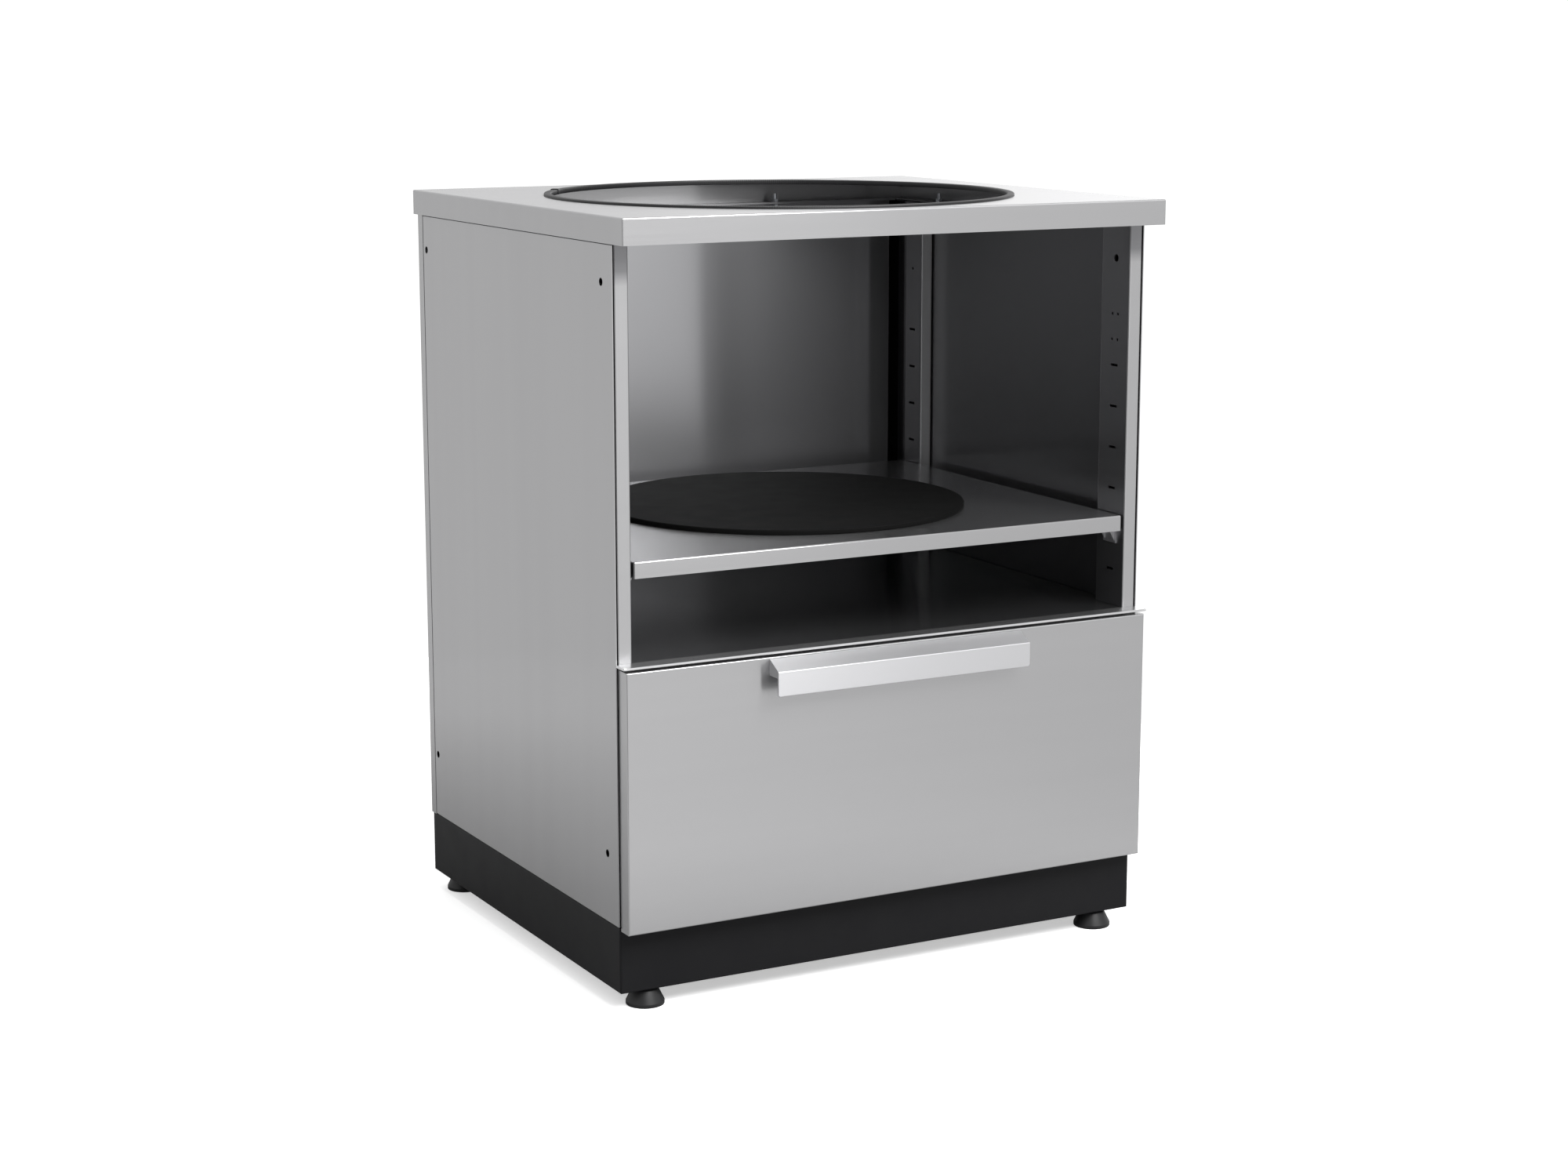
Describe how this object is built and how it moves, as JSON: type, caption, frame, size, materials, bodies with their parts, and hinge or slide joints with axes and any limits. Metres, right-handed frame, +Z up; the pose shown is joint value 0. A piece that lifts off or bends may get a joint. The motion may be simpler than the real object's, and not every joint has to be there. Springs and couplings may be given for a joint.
{
  "type": "kamado grill table",
  "caption": "Stainless outdoor cabinet with a round rubber-edged cut-out in its worktop, an open bay with a shelf and round mat, a wide drawer and levelling feet.",
  "frame": {"origin": "on the floor under the middle of the whole object, with the feet wound in", "axes": "+X to the right seen from the front, +Y to the back, +Z up; the drawer opens along -Y"},
  "size_m": [0.711, 0.6166, 0.9062],
  "materials": {
    "stainless_sheet": "brushed stainless sheet, grain along each panel",
    "inner_sheet": "plain stainless sheet, mill finish",
    "black_base": "satin black powder coat",
    "clip_steel": "pressed stainless steel",
    "black_rubber": "matt black moulded rubber",
    "foot_plastic": "matt black moulded plastic",
    "zinc_hardware": "bright zinc plate",
    "slide_steel": "zinc-plated rolled steel",
    "ball_steel": "polished balls in a plated cage",
    "handle_aluminium": "satin anodised extrusion",
    "black_mat": "matt black heat-resistant disc"
  },
  "bodies": {
    "cabinet": {"worktop": "stainless_sheet", "cutout_trim": "black_rubber", "trim_joiner": "black_rubber", "left_side_panel": "stainless_sheet", "right_side_panel": "stainless_sheet", "back_panel": "stainless_sheet", "front_left_post": "stainless_sheet", "front_right_post": "stainless_sheet", "rear_left_post": "stainless_sheet", "rear_right_post": "stainless_sheet", "deck": "stainless_sheet", "deck_rail": "inner_sheet", "bottom_panel": "inner_sheet", "base_front_rail": "black_base", "base_right_rail": "black_base", "base_rear_rail": "black_base", "base_left_rail": "black_base", "foot_brackets": "black_base", "foot_nuts": "zinc_hardware", "left_slide_outer": "slide_steel", "right_slide_outer": "slide_steel", "slide_screws_cabinet": "zinc_hardware", "worktop_bolts": "zinc_hardware", "worktop_nuts": "zinc_hardware", "base_screws": "zinc_hardware", "shelf_clip_front_left": "clip_steel", "shelf_clip_front_right": "clip_steel", "shelf_clip_rear_left": "clip_steel", "shelf_clip_rear_right": "clip_steel"},
    "shelf": {"shelf": "stainless_sheet", "shelf_stiffeners": "inner_sheet"},
    "heat_mat": {"heat_mat": "black_mat"},
    "drawer": {"drawer_front": "stainless_sheet", "drawer_front_liner": "inner_sheet", "drawer_left_side": "inner_sheet", "drawer_right_side": "inner_sheet", "drawer_bottom": "inner_sheet", "drawer_back": "inner_sheet", "drawer_handle": "handle_aluminium", "drawer_bumpers": "black_rubber", "left_slide_inner": "slide_steel", "right_slide_inner": "slide_steel", "slide_screws_drawer": "zinc_hardware", "handle_screws": "zinc_hardware", "drawer_front_screws": "zinc_hardware"},
    "left_slide_middle": {"left_slide_middle": "slide_steel"},
    "right_slide_middle": {"right_slide_middle": "slide_steel"},
    "left_outer_cage": {"left_outer_cage": "ball_steel"},
    "right_outer_cage": {"right_outer_cage": "ball_steel"},
    "left_inner_cage": {"left_inner_cage": "ball_steel"},
    "right_inner_cage": {"right_inner_cage": "ball_steel"},
    "foot_front_left": {"foot_pad_front_left": "foot_plastic", "foot_stem_front_left": "zinc_hardware"},
    "foot_front_right": {"foot_pad_front_right": "foot_plastic", "foot_stem_front_right": "zinc_hardware"},
    "foot_rear_left": {"foot_pad_rear_left": "foot_plastic", "foot_stem_rear_left": "zinc_hardware"},
    "foot_rear_right": {"foot_pad_rear_right": "foot_plastic", "foot_stem_rear_right": "zinc_hardware"}
  },
  "joints": [
    {"name": "drawer_slide", "type": "slide", "parent": "cabinet", "child": "drawer", "axis": [0, -1, 0], "range_m": [0, 0.5]},
    {"name": "left_slide_middle_travel", "type": "slide", "parent": "cabinet", "child": "left_slide_middle", "axis": [0, -1, 0], "range_m": [0, 0.25]},
    {"name": "left_outer_cage_travel", "type": "slide", "parent": "cabinet", "child": "left_outer_cage", "axis": [0, -1, 0], "range_m": [0, 0.125]},
    {"name": "left_inner_cage_travel", "type": "slide", "parent": "cabinet", "child": "left_inner_cage", "axis": [0, -1, 0], "range_m": [0, 0.375]},
    {"name": "right_slide_middle_travel", "type": "slide", "parent": "cabinet", "child": "right_slide_middle", "axis": [0, -1, 0], "range_m": [0, 0.25]},
    {"name": "right_outer_cage_travel", "type": "slide", "parent": "cabinet", "child": "right_outer_cage", "axis": [0, -1, 0], "range_m": [0, 0.125]},
    {"name": "right_inner_cage_travel", "type": "slide", "parent": "cabinet", "child": "right_inner_cage", "axis": [0, -1, 0], "range_m": [0, 0.375]},
    {"name": "shelf_lift", "type": "slide", "parent": "cabinet", "child": "shelf", "axis": [0, 0, 1], "range_m": [0, 0.2]},
    {"name": "mat_lift", "type": "slide", "parent": "shelf", "child": "heat_mat", "axis": [0, 0, 1], "range_m": [0, 0.08]},
    {"name": "foot_front_left_screw", "type": "slide", "parent": "cabinet", "child": "foot_front_left", "axis": [0, 0, -1], "range_m": [0, 0.025]},
    {"name": "foot_front_right_screw", "type": "slide", "parent": "cabinet", "child": "foot_front_right", "axis": [0, 0, -1], "range_m": [0, 0.025]},
    {"name": "foot_rear_left_screw", "type": "slide", "parent": "cabinet", "child": "foot_rear_left", "axis": [0, 0, -1], "range_m": [0, 0.025]},
    {"name": "foot_rear_right_screw", "type": "slide", "parent": "cabinet", "child": "foot_rear_right", "axis": [0, 0, -1], "range_m": [0, 0.025]}
  ],
  "couplings": [
    {"joint": "left_slide_middle_travel", "follows": "drawer_slide", "ratio": 0.5},
    {"joint": "left_outer_cage_travel", "follows": "drawer_slide", "ratio": 0.25},
    {"joint": "left_inner_cage_travel", "follows": "drawer_slide", "ratio": 0.75},
    {"joint": "right_slide_middle_travel", "follows": "drawer_slide", "ratio": 0.5},
    {"joint": "right_outer_cage_travel", "follows": "drawer_slide", "ratio": 0.25},
    {"joint": "right_inner_cage_travel", "follows": "drawer_slide", "ratio": 0.75}
  ]
}
